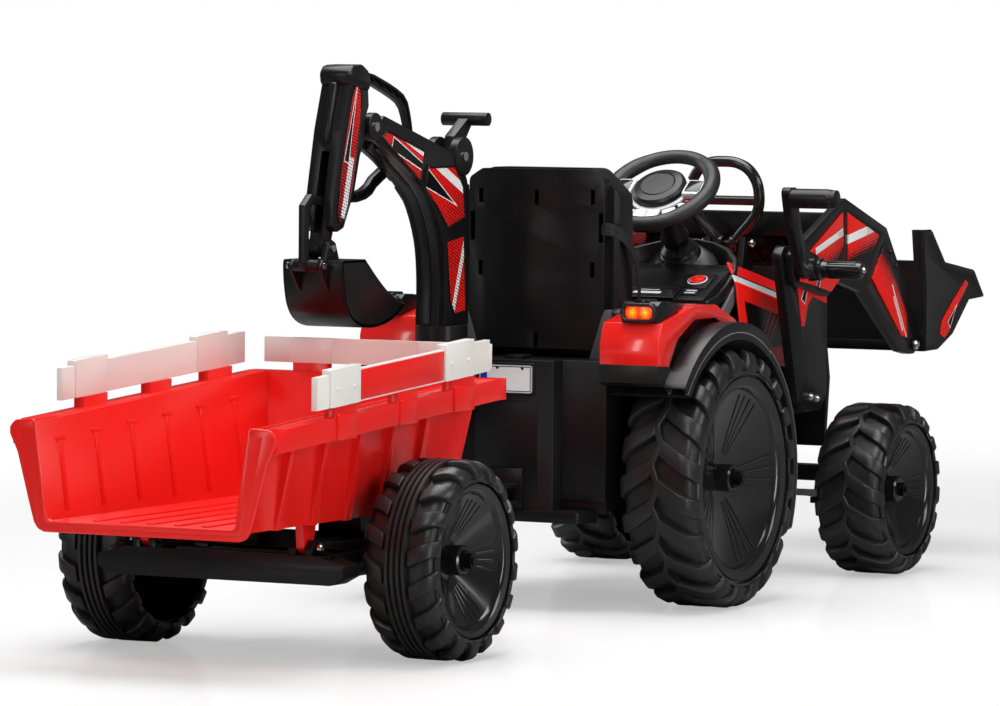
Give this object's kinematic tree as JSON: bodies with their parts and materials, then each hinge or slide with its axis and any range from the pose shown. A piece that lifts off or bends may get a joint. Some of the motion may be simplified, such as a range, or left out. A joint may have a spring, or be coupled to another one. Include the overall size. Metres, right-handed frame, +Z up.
{
  "type": "ride-on tractor with loader, digger and trailer",
  "caption": "Child's battery ride-on tractor with a front loader, a rear digger arm, a steering wheel, a high-backed seat and a tipping trailer on a yaw hitch.",
  "frame": {"origin": "middle of the underside of the overall box, on the ground under the hitch end of the trailer", "axes": "+X towards the tractor's nose and loader, +Y to its left, +Z up"},
  "size_m": [2.418, 0.602, 0.808],
  "materials": {
    "red_plastic": "glossy moulded polypropylene",
    "black_plastic": "satin moulded polypropylene",
    "tyre_plastic": "blow-moulded, satin",
    "rim_plastic": "semi-gloss moulded",
    "white_plastic": "glossy off-white",
    "silver_plastic": "metallic paint",
    "steel": "zinc plated",
    "webbing": "woven nylon",
    "lamp_red": "translucent red",
    "lamp_clear": "clear lens",
    "battery_case": "moulded case"
  },
  "bodies": {
    "tractor": {"floor_pan": "black_plastic", "rear_body": "black_plastic", "rear_axle": "steel", "drive_gearboxes": "black_plastic", "battery": "battery_case", "seat_back": "black_plastic", "seat_pan": "black_plastic", "seat_belt": "webbing", "fenders": "red_plastic", "arch_flares": "black_plastic", "tail_lamp_housings": "black_plastic", "tail_lamp_lenses": "lamp_red", "number_plate": "white_plastic", "dash_console": "black_plastic", "audio_panel": "black_plastic", "hood": "red_plastic", "front_grille": "black_plastic", "headlamps": "lamp_clear", "front_axle_beam": "steel", "loader_posts": "black_plastic", "hoop_bracket": "black_plastic", "digger_pedestal": "black_plastic", "hitch": "black_plastic", "pivot_bolts": "steel"},
    "power_switch": {"power_button": "red_plastic"},
    "steering": {"steering_rim": "black_plastic", "steering_hub": "black_plastic", "steering_shaft": "steel"},
    "horn_button_left": {"wheel_button_left": "black_plastic"},
    "horn_button_right": {"wheel_button_right": "black_plastic"},
    "knuckle_left": {"knuckle_left": "steel"},
    "knuckle_right": {"knuckle_right": "steel"},
    "tie_rod": {"tie_rod": "steel"},
    "pedal": {"accelerator_pedal": "black_plastic"},
    "rear_wheel_left": {"rear_tyre_left": "tyre_plastic", "rear_rim_left": "rim_plastic"},
    "rear_wheel_right": {"rear_tyre_right": "tyre_plastic", "rear_rim_right": "rim_plastic"},
    "front_wheel_left": {"front_tyre_left": "tyre_plastic", "front_rim_left": "rim_plastic"},
    "front_wheel_right": {"front_tyre_right": "tyre_plastic", "front_rim_right": "rim_plastic"},
    "trailer_wheel_left": {"trailer_tyre_left": "tyre_plastic", "trailer_rim_left": "rim_plastic"},
    "trailer_wheel_right": {"trailer_tyre_right": "tyre_plastic", "trailer_rim_right": "rim_plastic"},
    "loader_arms": {"loader_arms": "black_plastic", "lift_grip": "black_plastic"},
    "dump_lever": {"dump_lever": "black_plastic"},
    "loader_bucket": {"loader_bucket": "black_plastic"},
    "hoop_handle": {"hoop_handle": "black_plastic"},
    "boom": {"boom": "black_plastic"},
    "boom_lever": {"boom_lever": "black_plastic"},
    "stick": {"stick": "black_plastic"},
    "digger_bucket": {"digger_bucket": "black_plastic"},
    "scoop_link": {"scoop_link": "black_plastic"},
    "trailer": {"trailer_axle": "steel", "trailer_frame": "black_plastic"},
    "tub": {"trailer_tub": "red_plastic", "tub_rails": "white_plastic"}
  },
  "joints": [
    {"name": "rear_wheel_left_spin", "type": "hinge", "parent": "tractor", "child": "rear_wheel_left", "pos_m": [0.059, 0.238, 0.195], "axis": [0, 1, 0], "continuous": true},
    {"name": "knuckle_left_steer", "type": "hinge", "parent": "tractor", "child": "knuckle_left", "pos_m": [0.695, 0.157, 0.137], "axis": [0, 0, 1], "range_deg": [-20, 20]},
    {"name": "front_wheel_left_spin", "type": "hinge", "parent": "knuckle_left", "child": "front_wheel_left", "pos_m": [0.695, 0.242, 0.137], "axis": [0, 1, 0], "continuous": true},
    {"name": "rear_wheel_right_spin", "type": "hinge", "parent": "tractor", "child": "rear_wheel_right", "pos_m": [0.059, -0.238, 0.195], "axis": [0, 1, 0], "continuous": true},
    {"name": "knuckle_right_steer", "type": "hinge", "parent": "tractor", "child": "knuckle_right", "pos_m": [0.695, -0.157, 0.137], "axis": [0, 0, 1], "range_deg": [-20, 20]},
    {"name": "front_wheel_right_spin", "type": "hinge", "parent": "knuckle_right", "child": "front_wheel_right", "pos_m": [0.695, -0.242, 0.137], "axis": [0, 1, 0], "continuous": true},
    {"name": "tie_rod_slide", "type": "slide", "parent": "tractor", "child": "tie_rod", "axis": [0, 1, 0], "range_m": [-0.0185, 0.0185]},
    {"name": "steering_turn", "type": "hinge", "parent": "tractor", "child": "steering", "pos_m": [0.377, 0, 0.618], "axis": [-0.6018, 0, 0.7986], "range_deg": [-30.5, 30.5]},
    {"name": "horn_button_left_press", "type": "slide", "parent": "steering", "child": "horn_button_left", "axis": [0.6018, 0, -0.7986], "range_m": [0, 0.0015], "stiffness_N_per_m": 400, "springref_m": -0.0008},
    {"name": "horn_button_right_press", "type": "slide", "parent": "steering", "child": "horn_button_right", "axis": [0.6018, 0, -0.7986], "range_m": [0, 0.0015], "stiffness_N_per_m": 400, "springref_m": -0.0008},
    {"name": "power_switch_press", "type": "slide", "parent": "tractor", "child": "power_switch", "axis": [0.4008, 0, -0.9162], "range_m": [0, 0.002], "stiffness_N_per_m": 400, "springref_m": -0.001},
    {"name": "pedal_press", "type": "hinge", "parent": "tractor", "child": "pedal", "pos_m": [0.359, 0, 0.188], "axis": [0, 1, 0], "range_deg": [0, 12], "stiffness_Nm_per_rad": 3, "springref_deg": -5.73},
    {"name": "loader_lift", "type": "hinge", "parent": "tractor", "child": "loader_arms", "pos_m": [0.469, 0, 0.496], "axis": [0, -1, 0], "range_deg": [0, 25]},
    {"name": "hoop_swing", "type": "hinge", "parent": "tractor", "child": "hoop_handle", "pos_m": [0.634, 0, 0.528], "axis": [0, -1, 0], "range_deg": [0, 33]},
    {"name": "loader_dump", "type": "hinge", "parent": "loader_arms", "child": "loader_bucket", "pos_m": [0.931, 0, 0.357], "axis": [0, 1, 0], "range_deg": [0, 45]},
    {"name": "dump_lever_swing", "type": "hinge", "parent": "tractor", "child": "dump_lever", "pos_m": [0.469, 0, 0.496], "axis": [0, 1, 0], "range_deg": [0, 23]},
    {"name": "boom_swing", "type": "hinge", "parent": "tractor", "child": "boom", "pos_m": [-0.186, 0.09, 0.412], "axis": [0, 0, 1], "range_deg": [-25, 25]},
    {"name": "stick_swing", "type": "hinge", "parent": "boom", "child": "stick", "pos_m": [-0.444, 0.09, 0.722], "axis": [0, 1, 0], "range_deg": [0, 25]},
    {"name": "boom_lever_swing", "type": "hinge", "parent": "boom", "child": "boom_lever", "pos_m": [-0.163, 0.09, 0.672], "axis": [0, 1, 0], "range_deg": [0, 15.5]},
    {"name": "scoop_curl", "type": "hinge", "parent": "stick", "child": "digger_bucket", "pos_m": [-0.563, 0.09, 0.549], "axis": [0, -1, 0], "range_deg": [0, 25]},
    {"name": "scoop_link_turn", "type": "hinge", "parent": "digger_bucket", "child": "scoop_link", "pos_m": [-0.598, 0.09, 0.525], "axis": [0, -1, 0], "range_deg": [-25.5, 0]},
    {"name": "trailer_yaw", "type": "hinge", "parent": "tractor", "child": "trailer", "pos_m": [-0.196, 0, 0.166], "axis": [0, 0, 1], "range_deg": [-30, 30]},
    {"name": "tub_tip", "type": "hinge", "parent": "trailer", "child": "tub", "pos_m": [-0.98, 0, 0.161], "axis": [0, -1, 0], "range_deg": [0, 35]},
    {"name": "trailer_wheel_left_spin", "type": "hinge", "parent": "trailer", "child": "trailer_wheel_left", "pos_m": [-0.81, 0.241, 0.138], "axis": [0, 1, 0], "continuous": true},
    {"name": "trailer_wheel_right_spin", "type": "hinge", "parent": "trailer", "child": "trailer_wheel_right", "pos_m": [-0.81, -0.241, 0.138], "axis": [0, 1, 0], "continuous": true}
  ],
  "couplings": [
    {"joint": "knuckle_right_steer", "follows": "knuckle_left_steer", "ratio": 1},
    {"joint": "tie_rod_slide", "follows": "knuckle_left_steer", "m_per_rad": -0.05},
    {"joint": "steering_turn", "follows": "knuckle_left_steer", "ratio": 1.5},
    {"joint": "hoop_swing", "follows": "loader_lift", "ratio": 1.3},
    {"joint": "dump_lever_swing", "follows": "loader_dump", "ratio": 0.5},
    {"joint": "boom_lever_swing", "follows": "stick_swing", "ratio": 0.6},
    {"joint": "scoop_link_turn", "follows": "scoop_curl", "ratio": -1}
  ]
}
